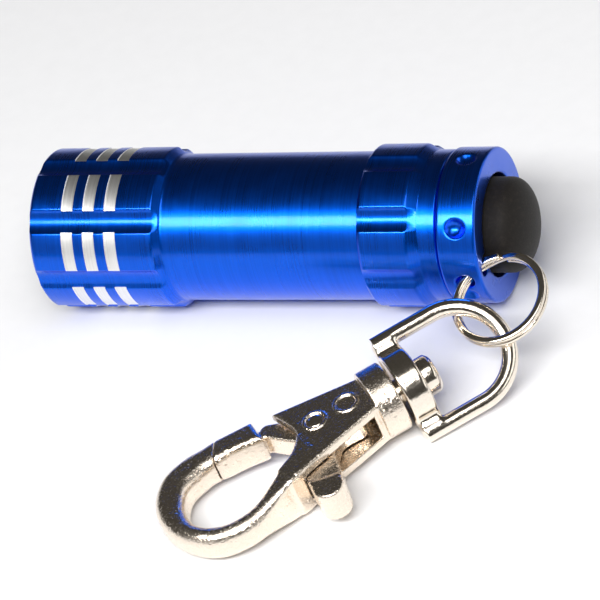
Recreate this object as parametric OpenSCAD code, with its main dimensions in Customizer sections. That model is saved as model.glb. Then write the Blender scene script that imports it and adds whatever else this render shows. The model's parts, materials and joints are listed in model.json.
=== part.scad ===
// Keychain flashlight with a tail push button, a split ring and a swivel snap hook.
// It lies on a table: +Z is up, the beam leaves along -X, and the table is z = 0.

/* [Barrel] */
// Outer diameter of the head and of the tail collar
head_d = 19; // [18:0.5:21]
// Outer diameter of the smooth tube
tube_d = 17.3; // [17:0.1:17.6]
// Length of the head, with its rear chamfer
head_len = 16.6; // [16:0.2:19]
// Length of the smooth tube
tube_len = 24.7; // [24:0.1:27]
// Length of the fluted tail collar, with its rear chamfer
collar_len = 7.25; // [6.5:0.25:8]
// Length of the plain neck behind the collar
neck_len = 2.2; // [2:0.1:2.6]
// Flutes around the head and the collar
flute_count = 8; // [6:1:10]
// Depth of a flute
flute_depth = 0.55; // [0.3:0.05:0.6]
// Radius of the round cutter that makes a flute
flute_cutter_r = 2.4; // [1.8:0.1:2.6]
// Bright-cut rings around the head
ring_cut_count = 3; // [1:1:3]
// Width of a bright-cut ring
ring_cut_w = 1.45; // [1:0.05:1.6]
// Distance from one bright-cut ring to the next
ring_cut_pitch = 2.75; // [2.4:0.05:3]
// Depth of a bright-cut ring
ring_cut_depth = 0.12; // [0.05:0.01:0.15]

/* [Tail cap] */
// Outer diameter of the tail cap
cap_d = 18; // [17.6:0.1:18.4]
// Length of the tail cap that shows
cap_len = 4.7; // [4.5:0.1:5]
// Diameter of the button opening
cap_opening_d = 12; // [11.8:0.1:12.2]
// Dimples around the cap
dimple_count = 6; // [6:1:6]
// Diameter of a dimple
dimple_d = 2.4; // [2:0.1:2.6]
// Depth of a dimple
dimple_depth = 0.75; // [0.5:0.05:0.9]
// Diameter of the rubber button
button_d = 11.1; // [10.8:0.1:11.2]
// Straight side of the button that stands out of the cap
button_side = 1.4; // [1:0.1:1.6]
// Height of the button's dome
button_dome = 3.0; // [2:0.1:3.2]
// Travel of the button
button_travel = 1.2; // [0.8:0.1:1.4]

/* [Cells] */
// Diameter of a button cell
cell_d = 11.6; // [11.5:0.1:11.6]
// Height of a button cell
cell_h = 5.4; // [5.2:0.1:5.4]
// Cells in the stack
cell_count = 4; // [4:1:4]

/* [Key ring] */
// Mean radius of the split ring
ring_r = 5.4; // [5.4:0.1:5.4]
// Radial width of the ring's wire
wire_w = 0.95; // [0.8:0.05:0.95]
// Height of one coil of the ring's wire
wire_h = 0.72; // [0.6:0.02:0.72]

/* [Snap hook] */
// Diameter of the hook's swivel collar
swivel_d = 8.4; // [8:0.1:8.4]
// Thickness of the hook's body across both cheeks
body_t = 5.5; // [5:0.1:5.6]
// Thickness of the hook's bow
hook_t = 4.0; // [3.6:0.1:4.2]
// Thickness of the gate lever between the cheeks
lever_t = 2.8; // [2.4:0.1:2.8]
// Half the width of the D-shaped yoke, to the middle of its wire
yoke_r = 5.9; // [5.8:0.1:6]
// Straight length of the yoke's arms
yoke_arm = 6.4; // [6.2:0.1:6.5]
// Radius of the yoke's wire
yoke_wire_r = 1.0; // [0.9:0.05:1]

/* [Hidden] */
$fn = 96;
hull_fn = 32;
eps = 0.01;

// Row origin: middle of the whole object's outline on the table.
centre_x = 32.02;
centre_y = -18.65;

// The torch rests on its flutes, so its axis is a little lower than its radius.
head_r = head_d / 2;
tube_r = tube_d / 2;
flute_half = 8.5;
axis_h = head_r * cos(flute_half);

// Stations along the torch, from the front rim.
shoulder = 0.95;
z_head = head_len;
z_collar = z_head + tube_len;
z_neck = z_collar + collar_len;
z_joint = z_neck + neck_len;
joint_gap = 0.1;
z_cap = z_joint + joint_gap;
z_rear = z_cap + cap_len;
neck_r = 8.75;
first_ring_cut = 4.2;

// Bores of the barrel.
optic_r = 7.9;
optic_depth = 11.5;
cell_bore_r = 6.6;
thread_bore_r = 7.65;
z_thread = 44.3;

// Light unit, from the front.
bezel_t = 1.2;
z_bezel = 0.4;
z_gasket = z_bezel + bezel_t;
gasket_t = 0.6;
z_lens = z_gasket + gasket_t;
lens_t = 1.4;
z_reflector = z_lens + lens_t;
z_board = optic_depth - 1.2;
led_r = 2.5;
led_ring_r = 3.7;
led_count = 3;

// Cells and contacts.
z_cells = 14.2;
sleeve_r = 6.5;
sleeve_bore_r = cell_d / 2 + 0.05;
z_sleeve = optic_depth + 0.1;
z_cells_end = z_cells + cell_count * cell_h;
sleeve_end = z_cells_end + 3.2;

// Tail cap and switch.
cap_r = cap_d / 2;
spigot_r = 7.6;
z_spigot = 44.6;
cap_bore_r = 6.8;
z_lip = z_rear - 2.3;
flange_t = 1.0;
z_flange = z_lip - flange_t;
switch_r = 6.7;
z_switch_ring = z_spigot + 0.3;
switch_ring_t = 1.0;
z_switch = z_switch_ring + switch_ring_t;
switch_len = 4.2;
plunger_r = 2.0;
spring_wire_r = 0.3;

// Key ring: centre and axis in the torch frame, on the table.
ring_centre = [58.15, -11.34, 8.04];
ring_turn = -110.1;
ring_lift = 67.3;
ring_clear_r = 0.85;
hole_r = 1.05;
ring_jog = 203;
hole_turn = 242;

// Snap hook: swivel centre, heading, pitch, and roll of the yoke about the swivel.
swivel_pos = [46.79, -24.36, 4.42];
swivel_turn = 40.4;
swivel_pitch = 4.8;
yoke_roll = 37.6;
collar_half = 1.45;
yoke_base_x = 1.9;
yoke_base_t = 2.9;
yoke_boss_r = 4.45;
post_r = 1.5;
post_head_r = 2.35;
post_head_len = 1.9;
yoke_mid_x = yoke_base_x + yoke_base_t / 2;
yoke_centre_x = yoke_mid_x + yoke_arm;
pivot = [-8, -0.3];
pin_r = 0.9;
second_boss = [-4, -0.3];
slot_t = 3.2;
gate_split = 0.12;

// Colours.
blue = "royalblue";
nickel = "lightgray";

// ---------- frames ----------
module on_table() translate([-centre_x, -centre_y, 0]) children();
module torch() on_table() translate([0, 0, axis_h]) rotate([0, 90, 0]) children();
module key_ring() on_table() translate(ring_centre) rotate([0, 90 - ring_lift, ring_turn]) children();
module swivel() on_table() translate(swivel_pos) rotate([0, -swivel_pitch, swivel_turn]) children();
module yoke_frame() swivel() rotate([yoke_roll, 0, 0]) children();
module along_x(x) translate([x, 0, 0]) rotate([0, 90, 0]) children();

// ---------- helpers ----------
module ring(r_out, r_in, z, h) {
    translate([0, 0, z]) difference() {
        cylinder(r = r_out, h = h);
        translate([0, 0, -1]) cylinder(r = r_in, h = h + 2);
    }
}
module disc(r, z, h) translate([0, 0, z]) cylinder(r = r, h = h);
module torus(r, wire) rotate_extrude() translate([r, 0]) circle(r = wire, $fn = 48);

// A coil spring as stacked rings, with its closed ends.
module coil(r, wire, z, h, turns) {
    step = (h - 2 * wire) / (turns - 1);
    for (i = [0 : turns - 1]) translate([0, 0, z + wire + i * step]) torus(r, wire);
    for (a = [0, 120, 240]) rotate([0, 0, a]) translate([r, 0, z + wire]) cylinder(r = wire * 0.6, h = h - 2 * wire);
}

// Catmull-Rom curve through points p, from p[1] to the last but one.
function blend(a, b, c, d, t) =
    0.5 * (2 * b + (c - a) * t + (2 * a - 5 * b + 4 * c - d) * t * t + (3 * b - a - 3 * c + d) * t * t * t);
function curve(p, steps = 5) =
    [for (i = [1 : len(p) - 3]) for (s = [0 : steps - 1]) blend(p[i - 1], p[i], p[i + 1], p[i + 2], s / steps)];

// ---------- barrel ----------
module barrel_outline() {
    edge = 0.35;
    polygon([
        [cell_bore_r, optic_depth], [optic_r, optic_depth], [optic_r, 0], [head_r - edge, 0],
        [head_r, edge], [head_r, z_head - shoulder], [tube_r, z_head], [tube_r, z_collar],
        [head_r - edge, z_collar], [head_r, z_collar + edge], [head_r, z_neck - 1.25], [neck_r, z_neck],
        [neck_r, z_joint - 0.15], [neck_r - 0.15, z_joint], [thread_bore_r, z_joint],
        [thread_bore_r, z_thread], [cell_bore_r, z_thread]]);
}
module flutes(z, h) {
    for (i = [0 : flute_count - 1]) rotate([0, 0, i * 360 / flute_count])
        translate([head_r + flute_cutter_r - flute_depth, 0, z]) cylinder(r = flute_cutter_r, h = h);
}
module barrel() {
    color(blue) torch() difference() {
        rotate_extrude() barrel_outline();
        flutes(-1, head_len + 2);
        flutes(z_collar - 0.5, collar_len + 1);
        for (i = [0 : ring_cut_count - 1])
            ring(head_r + 1, head_r - ring_cut_depth, first_ring_cut + i * ring_cut_pitch, ring_cut_w);
    }
}

// ---------- light unit ----------
module bezel_ring() {
    color("gray") torch() translate([0, 0, z_bezel]) rotate_extrude()
        polygon([[6.6, 0.6], [7.2, 0], [optic_r, 0], [optic_r, bezel_t], [6.6, bezel_t]]);
}
module lens_gasket() color("black") torch() ring(optic_r, 7.0, z_gasket, gasket_t);
module lens() {
    color("aliceblue", 0.5) torch() {
        disc(optic_r - 0.05, z_lens, lens_t);
        disc(6.4, z_lens - gasket_t, gasket_t);
    }
}
module reflector() {
    cup_r = 3.15;
    well_r = led_r + 0.1;
    color("silver") torch() difference() {
        disc(optic_r - 0.05, z_reflector, z_board - z_reflector);
        for (i = [0 : led_count - 1]) rotate([0, 0, i * 120]) translate([led_ring_r, 0, z_reflector])
            rotate_extrude() polygon([[0, -1], [cup_r, -1], [cup_r, 0], [well_r, 3.4], [well_r, 9], [0, 9]]);
    }
}
module led(i) {
    color("white") torch() rotate([0, 0, i * 120]) translate([led_ring_r, 0, 0]) {
        disc(led_r, z_reflector + 3.4, z_board - z_reflector - 3.4);
        translate([0, 0, z_reflector + 3.4]) sphere(r = led_r);
    }
}
module led_board() {
    color("green") torch() {
        disc(optic_r - 0.05, z_board, optic_depth - z_board);
        disc(4.0, optic_depth, 0.8);
    }
}
module front_contact() color("gold") torch() disc(3.0, optic_depth + 0.8, z_cells - optic_depth - 0.8);

// ---------- cells ----------
module cell_sleeve() color("dimgray") torch() ring(sleeve_r, sleeve_bore_r, z_sleeve, sleeve_end - z_sleeve);
module cell(i) {
    rim = 0.4;
    color("silver") torch() translate([0, 0, z_cells + i * cell_h]) {
        cylinder(r = cell_d / 2 - 1.2, h = rim);
        translate([0, 0, rim]) cylinder(r = cell_d / 2, h = cell_h - rim);
    }
}

// ---------- tail cap ----------
module tail_spring() {
    color("gold") torch() coil(3.0, spring_wire_r, z_cells_end + 0.05, z_switch_ring - z_cells_end - 0.1, 7);
}

// The ring's own path through the rim, and a straight hole along it.
module ring_path(r) key_ring() torus(ring_r, r);
module ring_hole() {
    key_ring() rotate([0, 0, hole_turn]) translate([ring_r, 0, 0]) rotate([90, 0, 0])
        translate([0, 0, -1.4]) cylinder(r = hole_r, h = 5);
}
module dimples() {
    ball_r = (dimple_d * dimple_d / 4 + dimple_depth * dimple_depth) / (2 * dimple_depth);
    for (i = [0 : dimple_count - 1]) rotate([0, 0, -128 + i * 360 / dimple_count])
        translate([cap_r + ball_r - dimple_depth, 0, z_cap + cap_len / 2]) sphere(r = ball_r);
}
module cap_outline() {
    edge = 0.4;
    polygon([
        [cap_bore_r, z_spigot], [spigot_r, z_spigot], [spigot_r, z_cap], [cap_r - 0.2, z_cap],
        [cap_r, z_cap + 0.2], [cap_r, z_rear - edge], [cap_r - edge, z_rear],
        [cap_opening_d / 2, z_rear], [cap_opening_d / 2, z_lip], [cap_bore_r, z_lip]]);
}
module tail_cap() {
    color(blue) difference() {
        torch() {
            difference() {
                rotate_extrude() cap_outline();
                dimples();
                ring(9, spigot_r - 0.55, z_joint - 1.6, 1.1);
            }
        }
        ring_path(ring_clear_r);
        ring_hole();
    }
}
module neck_o_ring() {
    color("black") torch() translate([0, 0, z_joint - 1.05]) torus(spigot_r - 0.25, 0.28);
}
module switch_ring() color("gray") torch() ring(cap_bore_r, 4.2, z_switch_ring, switch_ring_t);
module switch_housing() {
    color("ivory") torch() difference() {
        disc(switch_r, z_switch, switch_len);
        disc(plunger_r + 0.1, z_switch + 1.2, switch_len);
    }
}
module switch_plunger() {
    color("white") torch() disc(plunger_r, z_switch + 1.2 + button_travel + 0.1,
        z_flange - z_switch - 1.2 - button_travel - 0.1);
}
module rubber_button() {
    r = button_d / 2;
    z_side = z_rear + button_side;
    dome_r = (r * r + button_dome * button_dome) / (2 * button_dome);
    color("black") torch() {
        disc(cap_bore_r - 0.15, z_flange, flange_t);
        disc(r, z_flange, z_side - z_flange);
        intersection() {
            translate([0, 0, z_side + button_dome - dome_r]) sphere(r = dome_r);
            disc(r, z_side - eps, button_dome + 1);
        }
    }
}

// ---------- split ring ----------
// Both coils in one turn, with a groove between them and a cut at each wire end.
module split_ring() {
    edge = 0.25;
    groove = 0.2;
    w = wire_w / 2;
    h = wire_h;
    color(nickel) key_ring() difference() {
        rotate_extrude() translate([ring_r, 0]) polygon([
            [-w + edge, -h], [w - edge, -h], [w, -h + edge], [w, -groove], [w - groove, 0], [w, groove],
            [w, h - edge], [w - edge, h], [-w + edge, h], [-w, h - edge], [-w, groove],
            [-w + groove, 0], [-w, -groove], [-w, -h + edge]]);
        for (s = [-1, 1]) rotate([0, 0, ring_jog + 9 * s]) translate([ring_r, 0, s * h / 2])
            cube([2 * wire_w, 0.3, h], center = true);
    }
}

// ---------- yoke ----------
module yoke() {
    color(nickel) yoke_frame() {
        difference() {
            union() {
                along_x(yoke_base_x) cylinder(r = yoke_boss_r, h = yoke_base_t);
                translate([yoke_base_x, -yoke_r, -yoke_wire_r]) cube([yoke_base_t, 2 * yoke_r, 2 * yoke_wire_r]);
                for (s = [-1, 1]) translate([yoke_base_x, s * yoke_r, 0]) rotate([0, 90, 0])
                    cylinder(r = yoke_wire_r, h = yoke_base_t);
            }
            along_x(0) cylinder(r = post_r + 0.06, h = 10);
            along_x(yoke_base_x - eps) cylinder(r1 = 3.2, r2 = post_r + 0.06, h = 1.0);
        }
        for (s = [-1, 1]) translate([yoke_base_x + 0.5, s * yoke_r, 0]) rotate([0, 90, 0])
            cylinder(r = yoke_wire_r, h = yoke_centre_x - yoke_base_x - 0.5);
        translate([yoke_centre_x, 0, 0]) rotate([0, 0, -90]) rotate_extrude(angle = 180)
            translate([yoke_r, 0]) circle(r = yoke_wire_r, $fn = 48);
    }
}

// ---------- snap hook ----------
// Outline of the hook's bow, from the body's near edge round the nose and back inside.
outer_edge = [[-7, -4.9], [-12.5, -6.5], [-17, -8.0], [-21, -8.9], [-24.8, -8.1], [-27.5, -5.2],
              [-28.7, -1.2], [-28.1, 2.7], [-25.8, 5.7], [-22.2, 6.9], [-18.5, 6.6], [-16, 6.2]];
inner_edge = [[-18.6, 3.6], [-20.05, 3.35], [-22, 3.0], [-24.2, 1.9], [-25.6, -1.0], [-25.2, -4.2],
              [-22.6, -6.3], [-18.8, -6.1], [-14.6, -4.4], [-11.8, -2.6], [-10.5, 0.2], [-11.6, 4.4]];
module hook_outline() polygon(concat(curve(outer_edge), [[-18.5, 6.6]], curve(inner_edge), [[-10.5, 0.2], [-10.2, -4]]));
module body_outline() {
    polygon(concat([[-1.0, -3.3], [-7, -4.9], [-12.5, -6.5], [-14.2, -7.1]],
        curve([[-18.8, -6.1], [-14.6, -4.4], [-11.8, -2.6], [-10.5, 0.2], [-11.6, 4.4], [-12, 6]]),
        [[-11.6, 4.4], [-1.0, 2.5]]));
}
module slot_outline() {
    polygon([[-12.7, -9], [-12.7, 6], [-8.7, 6], [-8.7, 2.94], [-2.2, 1.6], [-2.2, -9]]);
}
module layer(t) linear_extrude(height = t, center = true) children();
module hook_body() {
    color(nickel) swivel() difference() {
        union() {
            layer(hook_t - 1.7) hook_outline();
            layer(hook_t - 0.7) offset(delta = -0.3) hook_outline();
            layer(hook_t) offset(delta = -0.75) hook_outline();
            layer(body_t - 0.6) body_outline();
            layer(body_t) offset(delta = -0.3) body_outline();
            along_x(-collar_half) cylinder(r = swivel_d / 2, h = 2 * collar_half - 0.3);
            along_x(collar_half - 0.3) cylinder(r1 = swivel_d / 2, r2 = swivel_d / 2 - 0.3, h = 0.3);
            for (p = [pivot, second_boss]) translate(p) cylinder(r = 1.45, h = body_t / 2 + 0.12);
        }
        layer(slot_t) slot_outline();
        translate(pivot) cylinder(r = pin_r, h = 20, center = true);
        translate([second_boss[0], second_boss[1], body_t / 2 - 0.08]) cylinder(r = 1.05, h = 1);
        along_x(-3) cylinder(r = post_r, h = 8);
    }
}
module swivel_post() {
    head_x = yoke_base_x + yoke_base_t + 0.15;
    color(nickel) swivel() {
        along_x(-1.9) cylinder(r = post_r, h = head_x + 1.9);
        along_x(head_x) cylinder(r = post_head_r, h = post_head_len - 0.5);
        along_x(head_x + post_head_len - 0.5) cylinder(r1 = post_head_r, r2 = post_head_r - 0.5, h = 0.5);
    }
}
module gate_pivot_pin() {
    color(nickel) swivel() translate(pivot) {
        cylinder(r = pin_r, h = body_t + 0.3, center = true);
        translate([0, 0, body_t / 2 + 0.12]) cylinder(r1 = 1.2, r2 = 0.9, h = 0.15);
    }
}
module gate_spring() {
    color("gold") swivel() translate([-3.9, 1.35, 0]) rotate([90, 0, 0]) coil(0.85, 0.17, -0.35, 1.4, 4);
}
module gate_lever() {
    tip = [-11.0, -9.8];
    color(nickel) swivel() difference() {
        union() {
            layer(lever_t) {
                hull() {
                    translate(pivot) circle(r = 2.3, $fn = hull_fn);
                    translate([-12.8, 3.9]) circle(r = 1.0, $fn = hull_fn);
                }
                hull() {
                    translate(tip) circle(r = 1.8, $fn = hull_fn);
                    translate([-10.2, -4.6]) circle(r = 2.2, $fn = hull_fn);
                }
                hull() {
                    translate([-10.2, -3.0]) circle(r = 2.2, $fn = hull_fn);
                    translate(pivot) circle(r = 2.3, $fn = hull_fn);
                    translate([-4.1, -1.6]) circle(r = 0.9, $fn = hull_fn);
                }
            }
            layer(hook_t - 0.7) polygon([
                [-18.5 + gate_split, 6.45], [-13.8, 6.2], [-13.6, 2.6], [-14.2, 2.2], [-20.05 + gate_split, 3.4]]);
        }
        translate(pivot) cylinder(r = pin_r + 0.05, h = 20, center = true);
    }
}

barrel();
bezel_ring();
lens_gasket();
lens();
reflector();
led(0);  // led_1
led(1);  // led_2
led(2);  // led_3
led_board();
front_contact();
cell_sleeve();
cell(0);  // cell_1
cell(1);  // cell_2
cell(2);  // cell_3
cell(3);  // cell_4
tail_spring();
tail_cap();
neck_o_ring();
switch_ring();
switch_housing();
switch_plunger();
rubber_button();
split_ring();
yoke();
hook_body();
swivel_post();
gate_pivot_pin();
gate_spring();
gate_lever();
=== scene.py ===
import json
import math

import bmesh
import bpy
import numpy as np
from mathutils import Matrix, Vector

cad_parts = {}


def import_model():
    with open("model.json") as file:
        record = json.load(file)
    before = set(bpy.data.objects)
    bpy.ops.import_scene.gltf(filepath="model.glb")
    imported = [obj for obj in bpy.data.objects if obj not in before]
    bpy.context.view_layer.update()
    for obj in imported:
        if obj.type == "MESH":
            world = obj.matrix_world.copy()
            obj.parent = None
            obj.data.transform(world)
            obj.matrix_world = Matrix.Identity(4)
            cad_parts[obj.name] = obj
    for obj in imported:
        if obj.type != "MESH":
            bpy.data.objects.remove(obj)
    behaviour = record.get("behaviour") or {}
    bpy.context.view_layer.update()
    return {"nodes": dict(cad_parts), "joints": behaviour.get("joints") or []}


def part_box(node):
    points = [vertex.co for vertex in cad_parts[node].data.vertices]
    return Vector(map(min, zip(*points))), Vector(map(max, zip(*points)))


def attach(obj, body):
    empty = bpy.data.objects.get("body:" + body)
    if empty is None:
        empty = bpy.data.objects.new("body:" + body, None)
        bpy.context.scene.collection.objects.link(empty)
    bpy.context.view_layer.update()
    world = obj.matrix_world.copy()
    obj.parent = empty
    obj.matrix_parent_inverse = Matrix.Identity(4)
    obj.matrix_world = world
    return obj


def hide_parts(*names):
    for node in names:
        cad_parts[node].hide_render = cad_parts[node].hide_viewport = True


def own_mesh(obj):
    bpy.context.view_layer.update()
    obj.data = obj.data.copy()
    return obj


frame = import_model()
MM = 0.001
joints = {j["name"]: j for j in frame["joints"]}


# ---------- driving sizes, as in the CAD ----------
HEAD_R = 9.5
TUBE_R = 8.65
NECK_R = 8.75
SHOULDER = 0.95
Z_HEAD = 16.6
Z_COLLAR = Z_HEAD + 24.7
Z_NECK = Z_COLLAR + 7.25
Z_JOINT = Z_NECK + 2.2
OPTIC_R = 7.9
OPTIC_DEPTH = 11.5
CELL_BORE_R = 6.6
THREAD_BORE_R = 7.65
Z_THREAD = 44.3
FLUTES = 8
FLUTE_DEPTH = 0.55
FLUTE_CUTTER_R = 2.4
RING_CUT_START = 4.2
RING_CUT_PITCH = 2.75
RING_CUT_W = 1.45
RING_CUT_DEPTH = 0.12

CAP_R = 9.0
Z_CAP = Z_JOINT + 0.1
Z_REAR = Z_CAP + 4.7
CAP_OPENING_R = 6.0
CAP_BORE_R = 6.8
Z_LIP = Z_REAR - 2.3
Z_SPIGOT = 44.6
SPIGOT_R = 7.6
DIMPLES = 6
DIMPLE_R = 1.2
DIMPLE_DEPTH = 0.75
DIMPLE_START = -128
BUTTON_R = 5.55
BUTTON_SIDE = 1.4
BUTTON_DOME = 3.0
Z_FLANGE = Z_LIP - 1.0

RING_R = 5.4
WIRE_W = 0.95
WIRE_H = 0.72
HOLE_R = 1.05
RING_STEP = 203

SWIVEL_R = 4.2
COLLAR_HALF = 1.45
BODY_HALF = 2.75
BOW_HALF = 2.0
LEVER_HALF = 1.4
SLOT_HALF = 1.6
YOKE_R = 5.9
YOKE_WIRE_R = 1.0
YOKE_BASE = (1.9, 4.8)
YOKE_CENTRE_X = 3.35 + 6.4
YOKE_BOSS_R = 4.45
POST_R = 1.5
POST_HEAD_R = 2.35
PIVOT = (-8.0, -0.3)
SECOND_BOSS = (-4.0, -0.3)
PIN_R = 0.9
GATE_WIRE_R = 0.16

CAST_GRID = 0.13  # grid step of the distance fields of the hook, the lever and the yoke
CAP_GRID = 0.14


# ---------- frames of the bodies, from the joints ----------
def joint_frame(origin, x, z):
    """4x4 matrix from millimetres in a local frame to metres in the row frame."""
    x = Vector(x).normalized()
    z = Vector(z).normalized()
    y = z.cross(x)
    turn = Matrix((x, y, z)).transposed().to_4x4()
    return Matrix.Translation(Vector(origin)) @ turn @ Matrix.Scale(MM, 4)


cap_turn = joints["cap_turn"]
front_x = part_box("barrel")[0].x
torch_origin = (front_x, cap_turn["pos_m"][1], cap_turn["pos_m"][2])
# In the torch frame, x is the station along the axis and z is up.
TORCH = joint_frame(torch_origin, (1, 0, 0), (0, 0, 1))

swivel = joints["clasp_swivel"]
SWIVEL = joint_frame(swivel["pos_m"], swivel["axis"], joints["gate_open"]["axis"])
YOKE = joint_frame(swivel["pos_m"], swivel["axis"], joints["yoke_slide"]["axis"])

ring_axis = Vector(joints["ring_spin"]["axis"])
ring_down = ring_axis * ring_axis.z - Vector((0, 0, 1))
RING = joint_frame(joints["ring_spin"]["pos_m"], ring_down, ring_axis)


# ---------- meshes ----------
def ease(x, low, high):
    """0 below low, 1 above high, smooth between."""
    t = np.clip((x - low) / (high - low), 0, 1)
    return t * t * (3 - 2 * t)


def make_mesh(name, points, faces, local, smooth=True):
    """An object in the row frame, from points in a local frame, with coincident points merged."""
    mesh = bpy.data.meshes.new(name)
    matrix = np.array(local)
    points = np.asarray(points, float) @ matrix[:3, :3].T + matrix[:3, 3]
    mesh.from_pydata(points.tolist(), [], [list(map(int, f)) for f in faces])
    work = bmesh.new()
    work.from_mesh(mesh)
    bmesh.ops.remove_doubles(work, verts=work.verts, dist=1e-8)
    work.to_mesh(mesh)
    work.free()
    obj = bpy.data.objects.new(name, mesh)
    bpy.context.scene.collection.objects.link(obj)
    mesh.polygons.foreach_set("use_smooth", [smooth] * len(mesh.polygons))
    return obj


def piece(name, points, faces, local, body, nodes, material):
    """A finished piece: a mesh that rides on a body and stands for its CAD nodes."""
    obj = make_mesh(name, points, faces, local)
    obj.data.materials.append(material)
    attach(obj, body)
    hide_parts(*nodes)
    return obj


def grid_faces(rows, cols, closed_cols=True, closed_rows=False):
    """Quads of a grid of points, numbered row by row."""
    faces = []
    for i in range(rows if closed_rows else rows - 1):
        for j in range(cols if closed_cols else cols - 1):
            a = i * cols + j
            b = i * cols + (j + 1) % cols
            below = ((i + 1) % rows) * cols
            faces.append((a, b, below + (j + 1) % cols, below + j))
    return faces


def round_corners(profile, radii, steps=4):
    """Replaces each corner of an open profile by an arc-like blend of the given radius."""
    out = []
    for i, (p, r) in enumerate(zip(profile, radii)):
        p = np.array(p, float)
        if r == 0 or i in (0, len(profile) - 1):
            out.append(p)
            continue
        before = np.array(profile[i - 1], float) - p
        after = np.array(profile[i + 1], float) - p
        a = p + before / np.linalg.norm(before) * min(r, np.linalg.norm(before) * 0.45)
        b = p + after / np.linalg.norm(after) * min(r, np.linalg.norm(after) * 0.45)
        for s in range(steps + 1):
            t = s / steps
            out.append((1 - t) ** 2 * a + 2 * t * (1 - t) * p + t ** 2 * b)
    return np.array(out)


def lathe(profile, turns=96):
    """Points and faces of a closed profile of (x, r) turned about the x axis."""
    angle = np.arange(turns) * 2 * math.pi / turns
    points = [(x, r * math.cos(a), r * math.sin(a)) for x, r in profile for a in angle]
    hollow = min(profile[0][1], profile[-1][1]) > 0
    return points, grid_faces(len(profile), turns, closed_rows=hollow)


def sweep(path, normals, binormals, section):
    """Points and faces of a section swept along a path, with flat ends."""
    n = len(section)
    points = [p + u * a + v * b for p, a, b in zip(path, normals, binormals) for u, v in section]
    faces = grid_faces(len(path), n)
    faces.append(tuple(range(n - 1, -1, -1)))
    faces.append(tuple(range((len(path) - 1) * n, len(path) * n)))
    return points, faces


def coil_points(radius, ends, turns, wire, steps=40):
    """A closed-end coil spring about the x axis, between two stations."""
    start, end = ends
    count = int(turns * steps)
    t = np.linspace(0, 1, count)
    closed = 1.0 / turns
    ramp = np.clip((t - closed) / (1 - 2 * closed), 0, 1)
    x = start + wire + (end - start - 2 * wire) * ramp
    angle = t * turns * 2 * math.pi
    path = np.stack([x, radius * np.cos(angle), radius * np.sin(angle)], 1)
    out = np.stack([0 * angle, np.cos(angle), np.sin(angle)], 1)
    along = np.tile([1.0, 0, 0], (count, 1))
    section = [(wire * math.cos(a), wire * math.sin(a)) for a in np.arange(12) * math.pi / 6]
    return sweep(path, out, along, section)


# ---------- distance fields, for cast and machined pieces ----------
def smooth_min(a, b, k):
    h = np.maximum(k - np.abs(a - b), 0) / k
    return np.minimum(a, b) - h * h * k / 4


def smooth_max(a, b, k):
    return -smooth_min(-a, -b, k)


def rounded(d_side, d_end, r):
    """A solid bounded by a side distance and an end distance, with edges of radius r."""
    u = d_side + r
    v = d_end + r
    outside = np.sqrt(np.maximum(u, 0) ** 2 + np.maximum(v, 0) ** 2)
    return np.minimum(np.maximum(u, v), 0) + outside - r


def outline_distance(points):
    """Signed distance from a closed outline in the plane."""
    p = np.array(points, float)
    q = np.roll(p, -1, 0)

    def distance(x, y):
        flat = x.ndim == 3
        px, py = (x[:, :, 0], y[:, :, 0]) if flat else (x, y)
        best = np.full(px.shape, 1e9)
        inside = np.zeros(px.shape, bool)
        for (ax, ay), (bx, by) in zip(p, q):
            ex, ey = bx - ax, by - ay
            wx, wy = px - ax, py - ay
            t = np.clip((wx * ex + wy * ey) / (ex * ex + ey * ey + 1e-12), 0, 1)
            best = np.minimum(best, (wx - ex * t) ** 2 + (wy - ey * t) ** 2)
            crosses = (ay > py) != (by > py)
            inside ^= crosses & (px < ex * (py - ay) / (ey if abs(ey) > 1e-12 else 1e-12) + ax)
        d = np.sqrt(best) * np.where(inside, -1, 1)
        return d[:, :, None] if flat else d

    return distance


def taper(x, y, a, b, ra, rb):
    """Distance from a bar in the plane, of radius ra at point a and rb at point b."""
    a = np.array(a, float)
    b = np.array(b, float)
    e = b - a
    t = np.clip(((x - a[0]) * e[0] + (y - a[1]) * e[1]) / (e @ e), 0, 1)
    return np.hypot(x - a[0] - e[0] * t, y - a[1] - e[1] * t) - (ra + (rb - ra) * t)


def catmull(points, steps=8):
    """Smooth curve from the second point to the last but one."""
    p = np.array(points, float)
    out = []
    for i in range(1, len(p) - 2):
        a, b, c, d = p[i - 1:i + 3]
        for t in np.arange(steps) / steps:
            out.append(0.5 * (2 * b + (c - a) * t + (2 * a - 5 * b + 4 * c - d) * t ** 2
                              + (3 * b - a - 3 * c + d) * t ** 3))
    return out


CORNERS = [(i, j, k) for i in (0, 1) for j in (0, 1) for k in (0, 1)]
EDGES = [(a, b) for a in CORNERS for b in CORNERS if sum(b) == sum(a) + 1
         and all(q >= p for p, q in zip(a, b))]


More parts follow.
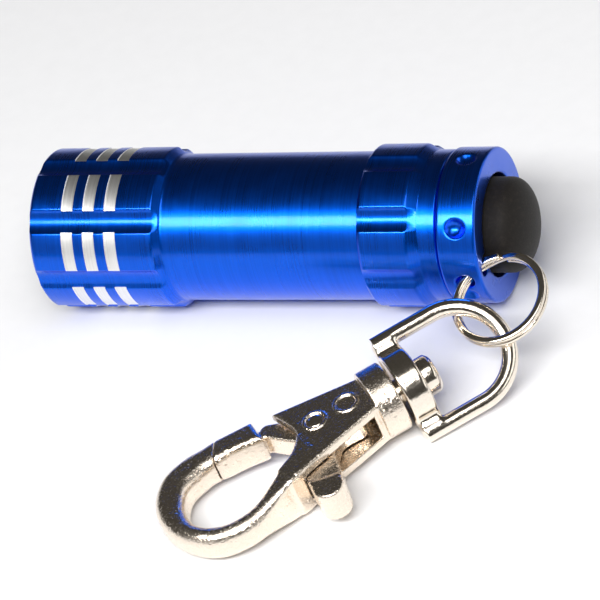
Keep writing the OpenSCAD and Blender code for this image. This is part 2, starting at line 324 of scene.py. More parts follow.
def surface(field, low, high, step):
    """Quad mesh of field(x, y, z) = 0 by surface nets, with its points pulled onto the field."""
    low = np.array(low, float)
    size = np.ceil((np.array(high, float) - low) / step).astype(int) + 1
    axes = [low[i] + step * np.arange(size[i]) for i in range(3)]
    d = field(*np.meshgrid(*axes, indexing="ij"))

    def part(array, corner):
        return array[tuple(slice(c, array.shape[n] - 1 + c) for n, c in enumerate(corner))]

    inside = d < 0
    count = sum(part(inside, c).astype(int) for c in CORNERS)
    active = (count > 0) & (count < 8)
    cells = np.argwhere(active)
    number = np.full(active.shape, -1)
    number[active] = np.arange(len(cells))
    total = np.zeros((len(cells), 3))
    hits = np.zeros(len(cells))
    for a, b in EDGES:
        da = part(d, a)[active]
        db = part(d, b)[active]
        crossed = (da < 0) != (db < 0)
        t = np.where(crossed, da / np.where(crossed, da - db, 1), 0)
        at = np.array(a) + t[:, None] * (np.array(b) - np.array(a))
        total += at * crossed[:, None]
        hits += crossed
    points = low + (cells + total / hits[:, None]) * step
    for _ in range(2):
        points = pull(field, points, step)
    faces = []
    for axis in range(3):
        u, v = (axis + 1) % 3, (axis + 2) % 3
        first = np.take(inside, range(size[axis] - 1), axis)
        second = np.take(inside, range(1, size[axis]), axis)
        for flip, mask in ((False, first & ~second), (True, ~first & second)):
            at = np.argwhere(mask)
            at = at[(at[:, u] > 0) & (at[:, v] > 0)
                    & (at[:, u] < size[u] - 1) & (at[:, v] < size[v] - 1)]
            ring = []
            for du, dv in ((1, 1), (0, 1), (0, 0), (1, 0)):
                cell = at.copy()
                cell[:, u] -= du
                cell[:, v] -= dv
                ring.append(number[tuple(cell.T)])
            ring = np.stack(ring[::-1] if flip else ring, 1)
            faces.append(ring)
    return points, np.concatenate(faces)


def pull(field, points, step):
    """Moves points along the field's slope onto its zero."""
    x, y, z = points.T
    e = step * 0.2
    d = field(x, y, z)
    slope = np.stack([
        field(x + e, y, z) - field(x - e, y, z),
        field(x, y + e, z) - field(x, y - e, z),
        field(x, y, z + e) - field(x, y, z - e)], 1) / (2 * e)
    length = np.maximum((slope ** 2).sum(1), 0.3)
    move = np.clip(d / length, -0.4 * step, 0.4 * step)
    return points - slope * move[:, None]


# ---------- material nodes ----------
class Nodes:
    """Short forms for building one material's nodes."""

    def __init__(self, name):
        self.material = bpy.data.materials.new(name)
        self.material.use_nodes = True
        self.tree = self.material.node_tree
        self.shader = self.tree.nodes["Principled BSDF"]
        self.coords = self.tree.nodes.new("ShaderNodeTexCoord").outputs["Object"]

    def new(self, kind, **values):
        node = self.tree.nodes.new(kind)
        for key, value in values.items():
            setattr(node, key, value)
        return node

    def link(self, out, into):
        self.tree.links.new(out, into)

    def stretched(self, scale):
        """Object coordinates in millimetres, stretched by scale."""
        node = self.new("ShaderNodeMapping")
        node.inputs["Scale"].default_value = [s / MM for s in scale]
        self.link(self.coords, node.inputs["Vector"])
        return node.outputs["Vector"]

    def noise(self, scale, detail=3.0, rough=0.55):
        node = self.new("ShaderNodeTexNoise")
        node.inputs["Scale"].default_value = 1.0
        node.inputs["Detail"].default_value = detail
        node.inputs["Roughness"].default_value = rough
        self.link(self.stretched(scale), node.inputs["Vector"])
        return node.outputs["Fac"]

    def cells(self, scale):
        node = self.new("ShaderNodeTexVoronoi")
        node.inputs["Scale"].default_value = 1.0
        self.link(self.stretched(scale), node.inputs["Vector"])
        return node.outputs["Distance"]

    def ramp(self, fac, low, high, a, b):
        """Maps fac from low..high to a..b, clamped."""
        node = self.new("ShaderNodeMapRange")
        for key, value in (("From Min", low), ("From Max", high), ("To Min", a), ("To Max", b)):
            node.inputs[key].default_value = value
        self.link(fac, node.inputs["Value"])
        return node.outputs["Result"]

    def mix(self, fac, a, b):
        node = self.new("ShaderNodeMix", data_type="RGBA")
        self.link(fac, node.inputs["Factor"])
        node.inputs["A"].default_value = (*a, 1)
        node.inputs["B"].default_value = (*b, 1)
        return node.outputs["Result"]

    def math(self, operation, a, b):
        node = self.new("ShaderNodeMath", operation=operation)
        for socket, value in zip(node.inputs, (a, b)):
            if isinstance(value, (int, float)):
                socket.default_value = value
            else:
                self.link(value, socket)
        return node.outputs[0]

    def bump(self, height, depth, strength=1.0, under=None):
        """Bump of the given depth in millimetres."""
        node = self.new("ShaderNodeBump")
        node.inputs["Strength"].default_value = strength
        node.inputs["Distance"].default_value = depth * MM
        self.link(height, node.inputs["Height"])
        if under is not None:
            self.link(under, node.inputs["Normal"])
        return node.outputs["Normal"]

    def set(self, **values):
        for key, value in values.items():
            socket = self.shader.inputs[key.replace("_", " ")]
            if isinstance(value, bpy.types.NodeSocket):
                self.link(value, socket)
            elif isinstance(value, tuple):
                socket.default_value = (*value, 1)
            else:
                socket.default_value = value


def anodised_blue():
    """Blue anodised aluminium with fine turning marks round the torch's axis."""
    n = Nodes("anodised_blue")
    fine = n.noise((9, 0.02, 0.02), 4.0, 0.7)
    broad = n.noise((1.1, 0.05, 0.05), 2.0)
    cloud = n.noise((0.25, 0.25, 0.25), 2.0)
    marks = n.math("ADD", n.math("MULTIPLY", fine, 0.75), n.math("MULTIPLY", broad, 0.25))
    n.set(Base_Color=n.mix(n.ramp(marks, 0.35, 0.65, 0, 1),
                           (0.0, 0.088, 0.64), (0.002, 0.118, 0.80)))
    n.set(Metallic=1.0, Roughness=n.ramp(n.math("ADD", fine, cloud), 0.7, 1.3, 0.25, 0.34))
    n.set(Coat_Weight=0.28, Coat_Roughness=0.12, Coat_IOR=1.5)
    n.set(Normal=n.bump(marks, 0.0035, 0.5))
    return n.material


def bright_cut():
    """Bare aluminium of the cut bands, with the tool's lines."""
    n = Nodes("bright_cut")
    lines = n.noise((14, 0.05, 0.05), 4.0, 0.7)
    n.set(Base_Color=n.mix(n.ramp(lines, 0.3, 0.7, 0, 1), (0.74, 0.73, 0.71), (0.95, 0.95, 0.94)))
    n.set(Metallic=1.0, Roughness=n.ramp(lines, 0.3, 0.7, 0.36, 0.5))
    n.set(Normal=n.bump(lines, 0.006, 0.5))
    return n.material


def cast_nickel():
    """Warm bright nickel over a casting: slow waves, and pits that the plating didn't fill."""
    n = Nodes("cast_nickel")
    waves = n.noise((0.55, 0.55, 0.55), 2.0)
    grain = n.noise((3.6, 3.6, 3.6), 3.0, 0.65)
    pits = n.ramp(n.cells((1.5, 1.5, 1.5)), 0.1, 0.42, 0, 1)
    patches = n.ramp(n.noise((0.7, 0.7, 0.7), 2.0), 0.5, 0.62, 1, 0)
    holes = n.math("MAXIMUM", pits, patches)
    n.set(Base_Color=n.mix(n.ramp(grain, 0.3, 0.7, 0, 1), (0.84, 0.73, 0.61), (0.95, 0.85, 0.73)))
    n.set(Metallic=1.0, Roughness=n.ramp(grain, 0.3, 0.7, 0.15, 0.3))
    under = n.bump(waves, 0.11, 0.6)
    under = n.bump(grain, 0.055, 0.8, under)
    n.set(Normal=n.bump(holes, 0.045, 1.0, under))
    return n.material


def wire_nickel():
    """Bright nickel on drawn wire: smoother than the casting."""
    n = Nodes("wire_nickel")
    grain = n.noise((4, 4, 4), 3.0, 0.6)
    streak = n.noise((1.2, 1.2, 2.2), 2.0)
    n.set(Base_Color=n.mix(n.ramp(grain, 0.3, 0.7, 0, 1), (0.84, 0.75, 0.64), (0.95, 0.87, 0.76)))
    n.set(Metallic=1.0, Roughness=n.ramp(grain, 0.3, 0.7, 0.10, 0.2))
    n.set(Normal=n.bump(grain, 0.008, 0.5, n.bump(streak, 0.04, 0.5)))
    return n.material


def black_rubber():
    """Matte moulded rubber with a fine texture and a little dust."""
    n = Nodes("black_rubber")
    grain = n.noise((7, 7, 7), 4.0, 0.65)
    dust = n.ramp(n.noise((1.7, 1.7, 1.7), 5.0, 0.7), 0.5, 0.75, 0, 1)
    n.set(Base_Color=n.mix(dust, (0.007, 0.0055, 0.0045), (0.018, 0.014, 0.011)))
    n.set(Roughness=n.ramp(grain, 0.3, 0.7, 0.62, 0.8), Specular_IOR_Level=0.22)
    n.set(Sheen_Weight=0.06, Sheen_Roughness=0.5)
    n.set(Normal=n.bump(grain, 0.02, 0.5))
    return n.material


def clear_plastic(name, tint, rough):
    """Clear moulded plastic with faint flow marks."""
    n = Nodes(name)
    flow = n.noise((0.6, 0.6, 0.6), 2.0)
    n.set(Base_Color=n.mix(flow, tint, tuple(min(1, t * 1.03) for t in tint)))
    n.set(Transmission_Weight=1.0, IOR=1.45, Roughness=n.ramp(flow, 0.3, 0.7, rough, rough + 0.03))
    n.set(Normal=n.bump(flow, 0.003, 0.3))
    return n.material


def plain(name, dark, light, metallic, rough, scale=4.0, depth=0.006):
    """A small plain piece: a base that varies a little, with a fine grain."""
    n = Nodes(name)
    grain = n.noise((scale, scale, scale), 3.0, 0.6)
    n.set(Base_Color=n.mix(n.ramp(grain, 0.3, 0.7, 0, 1), dark, light))
    n.set(Metallic=metallic, Roughness=n.ramp(grain, 0.3, 0.7, rough, rough + 0.1))
    n.set(Normal=n.bump(grain, depth, 0.5))
    return n.material


BLUE = anodised_blue()
CUT = bright_cut()
NICKEL = cast_nickel()
WIRE = wire_nickel()
RUBBER = black_rubber()
LENS = clear_plastic("lens_plastic", (0.96, 0.98, 0.99), 0.02)
EPOXY = clear_plastic("led_epoxy", (0.97, 0.98, 0.94), 0.03)
REFLECTOR = plain("reflector_metal", (0.84, 0.85, 0.87), (0.93, 0.94, 0.95), 1.0, 0.06)
GREY = plain("grey_metal", (0.30, 0.31, 0.33), (0.42, 0.43, 0.45), 1.0, 0.3)
BOARD = plain("board_green", (0.01, 0.11, 0.04), (0.02, 0.17, 0.06), 0.0, 0.4)
GOLD = plain("contact_gold", (0.75, 0.52, 0.18), (0.87, 0.64, 0.26), 1.0, 0.2)
STEEL = plain("cell_steel", (0.56, 0.57, 0.58), (0.70, 0.71, 0.72), 1.0, 0.25)
IVORY = plain("switch_plastic", (0.68, 0.66, 0.60), (0.78, 0.76, 0.70), 0.0, 0.45)
SLEEVE = plain("sleeve_plastic", (0.02, 0.02, 0.022), (0.05, 0.05, 0.055), 0.0, 0.5)
PHOSPHOR = plain("led_phosphor", (0.85, 0.66, 0.10), (0.95, 0.78, 0.20), 0.0, 0.5)


# ---------- torch barrel ----------
def flute_radius(angle):
    """Distance from the axis to the nearest flute's floor, or far away between the flutes."""
    pitch = 2 * math.pi / FLUTES
    off = (angle + pitch / 2) % pitch - pitch / 2
    centre = HEAD_R + FLUTE_CUTTER_R - FLUTE_DEPTH
    under = FLUTE_CUTTER_R ** 2 - (centre * np.sin(off)) ** 2
    return np.where(under > 0, centre * np.cos(off) - np.sqrt(np.maximum(under, 0)), 99.0)


def barrel_profile():
    """Stations and radii of the turned outside and bores, as one closed outline."""
    cut = []
    for i in range(3):
        a = RING_CUT_START + i * RING_CUT_PITCH
        b = a + RING_CUT_W
        low = HEAD_R - RING_CUT_DEPTH
        cut += [((a - 0.03, HEAD_R), 0.02), ((a + 0.03, low), 0.02),
                ((b - 0.03, low), 0.02), ((b + 0.03, HEAD_R), 0.02)]
    corners = [
        ((OPTIC_DEPTH, CELL_BORE_R), 0), ((OPTIC_DEPTH, OPTIC_R), 0.1), ((0, OPTIC_R), 0.15),
        ((0, HEAD_R - 0.35), 0.15), ((0.35, HEAD_R), 0.2), *cut,
        ((Z_HEAD - SHOULDER, HEAD_R), 0.18), ((Z_HEAD - 0.12, TUBE_R + 0.1), 0.15),
        ((Z_HEAD + 0.1, TUBE_R), 0.1), ((Z_COLLAR - 0.02, TUBE_R), 0.08),
        ((Z_COLLAR, TUBE_R + 0.1), 0.06), ((Z_COLLAR, HEAD_R - 0.35), 0.12),
        ((Z_COLLAR + 0.35, HEAD_R), 0.2), ((Z_NECK - 1.25, HEAD_R), 0.22), ((Z_NECK, NECK_R), 0.1),
        ((Z_JOINT - 0.2, NECK_R), 0.08), ((Z_JOINT, NECK_R - 0.2), 0.08),
        ((Z_JOINT, THREAD_BORE_R), 0.1),
        ((Z_THREAD, THREAD_BORE_R), 0.1), ((Z_THREAD, CELL_BORE_R), 0)]
    return round_corners([c[0] for c in corners], [c[1] for c in corners], 5)


def barrel():
    # Columns of one flute's sector in degrees: closest together at the flute's edge.
    edge = 8.5
    near = [edge + d for d in (-2.4, -1.4, -0.8, -0.45, -0.2, 0, 0.2, 0.45, 0.8, 1.4, 2.6)]
    half = [0, 2, 4, *near, 13, 16, 19, 22.5]
    sector = np.radians(sorted({-h for h in half[:-1]} | set(half)))
    pitch = 2 * math.pi / FLUTES
    angle = np.concatenate([sector + i * pitch for i in range(FLUTES)])
    profile = barrel_profile()
    floor = flute_radius(angle)
    points = []
    for x, r in profile:
        outside = r > TUBE_R - 0.05 and (x < Z_HEAD + 0.2 or x > Z_COLLAR - 0.1)
        fluted = outside and x < Z_NECK - 0.02
        radius = np.full(len(angle), r)
        if fluted:
            radius = smooth_min(radius, floor, 0.14)
        points += [(x, q * math.sin(a), -q * math.cos(a)) for q, a in zip(radius, angle)]
    faces = grid_faces(len(profile), len(angle), closed_rows=True)
    obj = piece("barrel_shell", points, faces, TORCH, "torch", ["barrel"], BLUE)
    obj.data.materials.append(CUT)
    pts = np.array(points).reshape(len(profile), len(angle), 3)
    limit = HEAD_R - RING_CUT_DEPTH - 0.035
    for p in obj.data.polygons:
        i, j = divmod(p.index, len(angle))
        x = (pts[i, j, 0] + pts[(i + 1) % len(profile), j, 0]) / 2
        k = (j + 1) % len(angle)
        low = min(math.hypot(*pts[i, j, 1:]), math.hypot(*pts[i, k, 1:]))
        for c in range(3):
            a = RING_CUT_START + c * RING_CUT_PITCH
            if a - 0.01 < x < a + RING_CUT_W + 0.01 and low > limit:
                p.material_index = 1
    return obj


# ---------- tail cap ----------
def ring_local():
    """The split ring's centre and axes in the torch frame, in millimetres."""
    m = TORCH.inverted() @ RING
    return np.array(m.translation), np.array(m.to_3x3().normalized())


def cap_field(x, y, z):
    """The cap: skirt, threaded spigot, seal groove, bores, dimples and the key ring's hole."""
    r = np.hypot(y, z)
    turn = np.arctan2(y, -z)
    middle = (Z_CAP + Z_REAR) / 2
    half = (Z_REAR - Z_CAP) / 2
    skirt = rounded(r - CAP_R, np.abs(x - middle) - half, 0.32)
    thread = (np.abs(((x - turn / (2 * math.pi)) % 1.0) - 0.5) - 0.25) * 0.35
    threaded = (x > Z_SPIGOT + 0.5) & (x < Z_JOINT - 2.2)
    spigot_side = r - SPIGOT_R - np.where(threaded, np.minimum(thread, 0), 0)
    spigot_end = np.abs(x - (Z_SPIGOT + middle) / 2) - (middle - Z_SPIGOT) / 2
    spigot = rounded(spigot_side, spigot_end, 0.15)
    body = np.minimum(skirt, spigot)
    groove = np.maximum(np.abs(x - (Z_JOINT - 1.05)) - 0.5, (SPIGOT_R - 0.5) - r)
    body = smooth_max(body, -groove, 0.1)
    bore = np.maximum(r - CAP_BORE_R, x - Z_LIP)
    body = smooth_max(body, -bore, 0.1)
    body = smooth_max(body, -(r - CAP_OPENING_R), 0.3)
    ball = (DIMPLE_R ** 2 + DIMPLE_DEPTH ** 2) / (2 * DIMPLE_DEPTH)
    for i in range(DIMPLES):
        a = math.radians(DIMPLE_START + i * 360 / DIMPLES)
        reach = CAP_R + ball - DIMPLE_DEPTH
        cy = reach * math.sin(a)
        cz = -reach * math.cos(a)
        dent = np.sqrt((x - middle) ** 2 + (y - cy) ** 2 + (z - cz) ** 2) - ball
        body = smooth_max(body, -dent, 0.16)
    centre, axes = ring_local()
    u, v, w = [sum((p - centre[m]) * axes[m, n] for m, p in enumerate((x, y, z)))
               for n in range(3)]
    hole = np.hypot(np.hypot(u, v) - RING_R, w) - HOLE_R
    return smooth_max(body, -hole, 0.2)


def tail_cap():
    low, high = (Z_SPIGOT - 0.3, -9.3, -9.3), (Z_REAR + 0.3, 9.3, 9.3)
    points, faces = surface(cap_field, low, high, CAP_GRID)
    piece("tail_cap_shell", points, faces, TORCH, "tail_cap", ["tail_cap"], BLUE)


def rubber_button():
    """The domed button, with the flange that the cap's lip holds."""
    side = Z_REAR + BUTTON_SIDE
    dome = [(side + BUTTON_DOME * math.cos(t) ** 0.9, BUTTON_R * math.sin(t))
            for t in np.linspace(math.pi / 2, 0, 28)[1:-1]]
    profile = [(Z_FLANGE, 0.0), (Z_FLANGE, CAP_BORE_R - 0.15), (Z_LIP - 0.02, CAP_BORE_R - 0.15),
               (Z_LIP - 0.02, BUTTON_R), (side, BUTTON_R), *dome, (side + BUTTON_DOME, 0.0)]
    radii = [0, 0.1, 0.1, 0.1, 0.3] + [0] * len(dome) + [0]
    profile = round_corners(profile, radii)
    points, faces = lathe(profile)
    piece("tail_button", points, faces, TORCH, "button", ["rubber_button"], RUBBER)


# ---------- key ring ----------
def split_ring():
    """Two coils of flattened wire: the wire steps from the upper coil to the lower one."""
    step_at = math.radians(RING_STEP)
    count = 2 * 180
    t = np.linspace(0.012, 1.988, count)
    height = WIRE_H / 2 * (1 - 2 * ease(t, 0.94, 1.06))
    angle = step_at + t * 2 * math.pi
    out = np.stack([np.cos(angle), np.sin(angle), 0 * angle], 1)
    up = np.tile([0, 0, 1.0], (count, 1))
    path = out * RING_R + up * height[:, None]
    w, h, e = WIRE_W / 2, WIRE_H / 2 - 0.01, 0.33
    corners = [(w - e, h - e), (-w + e, h - e), (-w + e, -h + e), (w - e, -h + e)]
    section = [(cu + e * math.cos(a), cv + e * math.sin(a))
               for n, (cu, cv) in enumerate(corners)
               for a in np.radians(np.array([0, 30, 60, 90]) + 90 * n)]
    points, faces = sweep(path, out, up, section)
    piece("key_ring_wire", points, faces, RING, "key_ring", ["split_ring"], WIRE)


# ---------- yoke ----------
def yoke_field(x, y, z):
    """The D-shaped eye: a round boss with the post's hole, a bar, two arms and a bow."""
    a, b = YOKE_BASE
    middle, half = (a + b) / 2, (b - a) / 2
    boss = rounded(np.hypot(y, z) - YOKE_BOSS_R, np.abs(x - middle) - half, 0.4)
    bar_section = rounded(np.abs(y) - YOKE_R - 0.35, np.abs(z) - YOKE_WIRE_R, 0.8)
    bar = rounded(bar_section, np.abs(x - middle) - half, 0.6)
    arm_ends = np.maximum(a + 0.3 - x, x - YOKE_CENTRE_X - 0.05)
    arm = np.maximum(np.hypot(np.abs(y) - YOKE_R, z) - YOKE_WIRE_R, arm_ends)
    across = np.hypot(x - YOKE_CENTRE_X, y) - YOKE_R
    bow = np.maximum(np.hypot(across, z) - YOKE_WIRE_R, YOKE_CENTRE_X - 0.05 - x)
    solid = smooth_min(boss, bar, 0.5)
    solid = smooth_min(solid, arm, 0.35)
    solid = np.minimum(solid, bow)
    hole = np.maximum(np.hypot(y, z) - POST_R - 0.06, x - b - 0.5)
    return smooth_max(solid, -hole, 0.25)


def yoke():
    far = YOKE_CENTRE_X + YOKE_R + YOKE_WIRE_R + 0.3
    points, faces = surface(yoke_field, (1.6, -7.2, -4.8), (far, 7.2, 4.8), CAST_GRID)
    piece("swivel_yoke", points, faces, YOKE, "yoke", ["yoke"], WIRE)


# ---------- snap hook ----------
# The loop's outline runs from the body round the nose and on along the closed gate.
OUTER_EDGE = [(-7, -4.9), (-12.5, -6.5), (-17, -8.0), (-21, -8.9), (-24.8, -8.1), (-27.5, -5.2),
              (-28.7, -1.2), (-28.1, 2.7), (-25.8, 5.7), (-22.2, 6.9), (-18.5, 6.6), (-13.8, 6.2),
              (-11, 6.0)]
INNER_EDGE = [(-11, 2.4), (-13.8, 2.7), (-17, 3.3), (-20.05, 3.35), (-22, 3.0), (-24.2, 1.9),
              (-25.6, -1.0), (-25.2, -4.2), (-22.6, -6.3), (-18.8, -6.1), (-14.6, -4.4),
              (-11.8, -2.6), (-10.5, 0.2), (-11.6, 4.4)]
BODY_FLANK = [(-1.0, -3.3), (-7, -4.9), (-12.5, -6.5), (-14.2, -7.1)]
BODY_NOTCH = [(-18.8, -6.1), (-14.6, -4.4), (-11.8, -2.6), (-10.5, 0.2), (-11.6, 4.4), (-12, 6)]
SLOT = [(-12.7, -9), (-12.7, 6), (-8.7, 6), (-8.7, 2.94), (-2.2, 1.6), (-2.2, -9)]
SPLIT = ((-18.5, 6.6), (-20.05, 3.35))
SPLIT_GAP = 0.12

loop_distance = outline_distance(catmull(OUTER_EDGE) + [(-13.8, 6.2)]
                                 + catmull(INNER_EDGE) + [(-10.5, 0.2), (-10.2, -4)])
body_distance = outline_distance(BODY_FLANK + catmull(BODY_NOTCH) + [(-11.6, 4.4), (-1.0, 2.5)])
slot_distance = outline_distance(SLOT)


def split_side(x, y):
    """Distance from the gate's end face: negative towards the nose, positive towards the gate."""
    (ax, ay), (bx, by) = SPLIT
    length = math.hypot(bx - ax, by - ay)
    return -((x - ax) * (by - ay) - (y - ay) * (bx - ax)) / length


def loop_bar(x, y, z):
    """The loop's bar: round at the bow, flatter at the gate, rising to the body along the arm."""
    along_arm = ease(x, -20, -13.5) * (y < -1)
    along_gate = ease(x, -21, -18) * (y > 1)
    half = BOW_HALF + (BODY_HALF - BOW_HALF) * along_arm
    edge = 1.45 - 0.65 * along_gate - 0.95 * along_arm
    return rounded(loop_distance(x, y), np.abs(z) - half, edge)


def ringed_boss(x, y, z, centre, rim, sink):
    """A raised ring on the hook's face, and the shallow dish inside it."""
    r = np.hypot(x - centre[0], y - centre[1])
    ring = np.hypot(r - rim, z - BODY_HALF + 0.02) - 0.2
    dish = np.maximum(r - rim, sink - z + BODY_HALF)
    return ring, dish


def hook_field(x, y, z):
    """The casting: nose and arm, body with its slot, collar, bosses and the pin's hole."""
    nose = smooth_max(loop_bar(x, y, z), np.where(y > 0, split_side(x, y), -9), 0.12)
    nose = np.maximum(nose, x + 10.4)
    body = rounded(body_distance(x, y), np.abs(z) - BODY_HALF, 0.42)
    solid = smooth_min(nose, body, 0.7)
    collar = rounded(np.hypot(y, z) - SWIVEL_R, np.abs(x) - COLLAR_HALF, 0.22)
    slot = np.maximum(slot_distance(x, y), np.abs(z) - SLOT_HALF)
    solid = smooth_max(solid, -slot, 0.2)
    solid = smooth_min(solid, collar, 0.25)
    for centre, rim in ((PIVOT, 1.3), (SECOND_BOSS, 1.35)):
        ring, dish = ringed_boss(x, y, z, centre, rim, -0.06)
        solid = smooth_max(solid, -dish, 0.08)
        solid = smooth_min(solid, ring, 0.16)
    return smooth_max(solid, PIN_R - np.hypot(x - PIVOT[0], y - PIVOT[1]), 0.1)


def hook_body():
    points, faces = surface(hook_field, (-29.1, -9.3, -4.5), (1.8, 7.3, 4.5), CAST_GRID)
    piece("hook_casting", points, faces, SWIVEL, "clasp", ["hook_body"], NICKEL)


def lever_field(x, y, z):
    """Gate, arm, hub, heel and thumb trigger in one piece, with the pin's hole."""
    gate = smooth_max(loop_bar(x, y, z), SPLIT_GAP - split_side(x, y), 0.12)
    gate = smooth_max(gate, x + 13.75, 0.15)
    gate = np.maximum(gate, -y)
    arm = taper(x, y, PIVOT, (-12.8, 3.9), 2.3, 1.05)
    trigger = taper(x, y, (-10.2, -4.4), (-11.0, -9.8), 2.15, 1.8)
    heel = taper(x, y, PIVOT, (-4.1, -1.6), 2.3, 0.9)
    hub = taper(x, y, PIVOT, (-10.2, -3.6), 2.3, 2.15)
    plan = smooth_min(smooth_min(arm, trigger, 0.5), smooth_min(heel, hub, 0.5), 0.5)
    reach = np.hypot(x - PIVOT[0], y - PIVOT[1])
    half = LEVER_HALF + 0.55 * ease(reach, 7.9, 8.9) * (y < -2)
    plate = rounded(plan, np.abs(z) - half, 0.35)
    solid = smooth_min(plate, gate, 0.4)
    return smooth_max(solid, PIN_R + 0.05 - reach, 0.1)


def gate_lever():
    points, faces = surface(lever_field, (-20.8, -11.9, -2.4), (-2.9, 7.3, 2.4), CAST_GRID)
    piece("gate_and_trigger", points, faces, SWIVEL, "gate", ["gate_lever"], NICKEL)


def turned(name, profile, radii, local, body, node, material):
    """A turned piece about the local x axis, with rounded corners."""
    shape = round_corners(profile, radii)
    points, faces = lathe(shape, 64)
    return piece(name, points, faces, local, body, [node], material)


def swivel_post():
    head = YOKE_BASE[1] + 0.15
    profile = [(-1.9, 0), (-1.9, POST_R), (head, POST_R), (head, POST_HEAD_R),
               (head + 1.4, POST_HEAD_R), (head + 1.9, POST_HEAD_R - 0.5), (head + 1.9, 1.0),
               (head + 1.75, 0.7), (head + 1.75, 0)]
    radii = [0, 0.1, 0.15, 0.15, 0.2, 0.2, 0.1, 0.1, 0]
    turned("swivel_rivet", profile, radii, SWIVEL, "clasp", "swivel_post", WIRE)


def pivot_pin():
    half = BODY_HALF + 0.15
    profile = [(-half, 0), (-half, PIN_R - 0.15), (-half + 0.15, PIN_R), (half - 0.35, PIN_R),
               (half - 0.2, PIN_R + 0.1), (half - 0.1, PIN_R), (half + 0.02, PIN_R - 0.35),
               (half - 0.02, 0)]
    upright = (SWIVEL @ Matrix.Translation((PIVOT[0], PIVOT[1], 0))
               @ Matrix.Rotation(-math.pi / 2, 4, "Y"))
    turned("pivot_rivet", profile, [0, 0.05, 0.05, 0.05, 0.05, 0.05, 0.1, 0], upright, "clasp",
           "gate_pivot_pin", WIRE)


def springs():
    low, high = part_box("tail_spring")
    ends = ((low.x - front_x) / MM, (high.x - front_x) / MM)
    points, faces = coil_points(3.0, ends, 6.5, 0.3)
    piece("contact_spring", points, faces, TORCH, "spring_carrier", ["tail_spring"],
          GOLD)
    points, faces = coil_points(0.85, (-0.35, 1.05), 4.2, GATE_WIRE_R, 28)
    across = SWIVEL @ Matrix.Translation((-3.9, 1.35, 0)) @ Matrix.Rotation(-math.pi / 2, 4, "Z")
    coil = piece("gate_coil", points, faces, across, "clasp", ["gate_spring"],
                 GOLD)
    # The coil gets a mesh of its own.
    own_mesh(coil)


# ---------- light unit ----------
def bezel():
    profile = [(1.6, 6.6), (1.0, 6.6), (0.45, 7.25), (0.4, OPTIC_R - 0.02), (1.6, OPTIC_R - 0.02)]
    turned("lens_bezel", profile, [0, 0.1, 0.1, 0.1, 0], TORCH, "torch", "bezel_ring",
           GREY)


DIE_SETBACK = 2.6
DIE_HALF = 0.55
DIE_THICK_HALF = 0.25


def led_dice():
    """A small phosphor square in each LED, seen through its dome."""
    for i in range(3):
        low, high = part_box(f"led_{i + 1}")
        centre = (low + high) / 2
        x = high.x - DIE_SETBACK * MM
        half = DIE_HALF * MM
        points = [(x + dx * DIE_THICK_HALF * MM, centre.y + dy * half, centre.z + dz * half)
                  for dx in (-1, 1) for dy in (-1, 1) for dz in (-1, 1)]
        faces = [(0, 1, 3, 2), (4, 6, 7, 5), (0, 4, 5, 1),
                 (2, 3, 7, 6), (0, 2, 6, 4), (1, 5, 7, 3)]
        obj = make_mesh(f"led_die_{i + 1}", points, faces, Matrix.Identity(4), smooth=False)
        bevel = obj.modifiers.new("edges", "BEVEL")
        bevel.width = 0.08 * MM
        bevel.segments = 2
        obj.data.materials.append(PHOSPHOR)
        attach(obj, "torch")


CAD_LOOKS = {
    "lens": LENS, "lens_gasket": RUBBER, "reflector": REFLECTOR,
    "led_1": EPOXY, "led_2": EPOXY, "led_3": EPOXY, "led_board": BOARD,
    "front_contact": GOLD, "cell_sleeve": SLEEVE,
    "cell_1": STEEL, "cell_2": STEEL, "cell_3": STEEL, "cell_4": STEEL,
    "neck_o_ring": RUBBER, "switch_ring": GREY,
    "switch_housing": IVORY, "switch_plunger": IVORY}


def dress_cad_nodes():
    """Materials and soft edges for the CAD nodes that stay."""
    for name, material in CAD_LOOKS.items():
        node = frame["nodes"][name]
        node.data.materials.clear()
        node.data.materials.append(material)
        weld = node.modifiers.new("weld", "WELD")
        weld.merge_threshold = 0.001 * MM
        bevel = node.modifiers.new("edges", "BEVEL")
        bevel.width = 0.06 * MM
        bevel.segments = 2
        bevel.limit_method = "ANGLE"
        bevel.angle_limit = math.radians(40)
        for p in node.data.polygons:
            p.use_smooth = True


# ---------- studio ----------
CAMERA_ANGLES = (28.56, 38.32, -18.65)  # azimuth, elevation and roll in degrees
CAMERA_TARGET = (-1.27, 12.83, 2.97)
CAMERA_DISTANCE = 503.5
CAMERA_LENS = 258
LIGHT_TARGET = (0, 0, 8)
FLOOR_HALF = 2500


def floor():
    n = Nodes("floor_paper")
    grain = n.noise((0.4, 0.4, 0.4), 3.0)
    n.set(Base_Color=n.mix(grain, (0.80, 0.80, 0.81), (0.84, 0.84, 0.85)))
    n.set(Roughness=0.7, Specular_IOR_Level=0.2)
    points = [(sx * FLOOR_HALF, sy * FLOOR_HALF, 0)
              for sx, sy in ((-1, -1), (1, -1), (1, 1), (-1, 1))]
    obj = make_mesh("floor", points, [(0, 1, 2, 3)], Matrix.Scale(MM, 4), smooth=False)
    obj.data.materials.append(n.material)


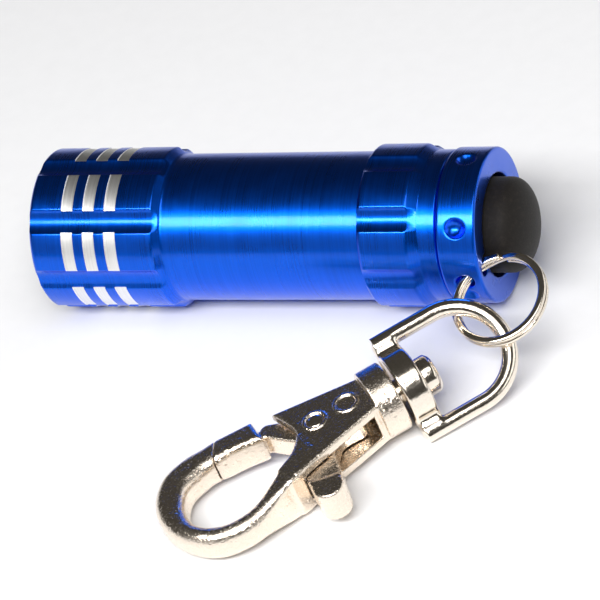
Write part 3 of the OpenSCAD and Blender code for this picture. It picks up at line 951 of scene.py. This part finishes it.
def facing_axes(azimuth, elevation, roll):
    """Right, up and back of something that faces the object from this direction, in degrees."""
    a, e, r = (math.radians(v) for v in (azimuth, elevation, roll))
    back = Vector((math.sin(a) * math.cos(e), -math.cos(a) * math.cos(e), math.sin(e)))
    level = Vector((math.cos(a), math.sin(a), 0))
    rise = back.cross(level)
    right = level * math.cos(r) + rise * math.sin(r)
    return right, back.cross(right), back


def place(obj, target, axes, distance):
    """Puts a camera or a light at a distance from its target, both in millimetres, facing it."""
    right, up, back = axes
    turn = Matrix((right, up, back)).transposed().to_4x4()
    position = Vector(target) * MM + back * (distance * MM)
    obj.matrix_world = Matrix.Translation(position) @ turn
    bpy.context.scene.collection.objects.link(obj)


def camera():
    data = bpy.data.cameras.new("camera")
    data.sensor_width = 36
    data.lens = CAMERA_LENS
    data.clip_start = 0.01
    data.clip_end = 20
    obj = bpy.data.objects.new("camera", data)
    place(obj, CAMERA_TARGET, facing_axes(*CAMERA_ANGLES), CAMERA_DISTANCE)
    bpy.context.scene.camera = obj


def softbox(name, azimuth, elevation, distance, size, power, mirrored=True):
    """A rectangular soft light: angles in degrees, lengths in millimetres, power in watts."""
    data = bpy.data.lights.new(name, "AREA")
    data.shape = "RECTANGLE"
    data.size, data.size_y = (s * MM for s in size)
    data.energy = power
    obj = bpy.data.objects.new(name, data)
    place(obj, LIGHT_TARGET, facing_axes(azimuth, elevation, 0), distance)
    obj.visible_glossy = mirrored


def world():
    data = bpy.data.worlds.new("studio")
    data.use_nodes = True
    background = data.node_tree.nodes["Background"]
    background.inputs["Color"].default_value = (1.0, 0.95, 0.86, 1)
    background.inputs["Strength"].default_value = 0.05
    bpy.context.scene.world = data


barrel()
tail_cap()
rubber_button()
split_ring()
yoke()
hook_body()
gate_lever()
swivel_post()
pivot_pin()
springs()
bezel()
led_dice()
dress_cad_nodes()
floor()
camera()
world()
softbox("key", 0, 50, 500, (540, 125), 3.4)
softbox("front", -35, 16, 700, (600, 340), 0.2)
softbox("side", 106, 20, 600, (1000, 240), 1.0)
softbox("top", 45, 64, 500, (240, 200), 0.35)
softbox("fill", 30, 70, 900, (800, 800), 2.15, mirrored=False)
bpy.context.scene.view_settings.view_transform = "Standard"
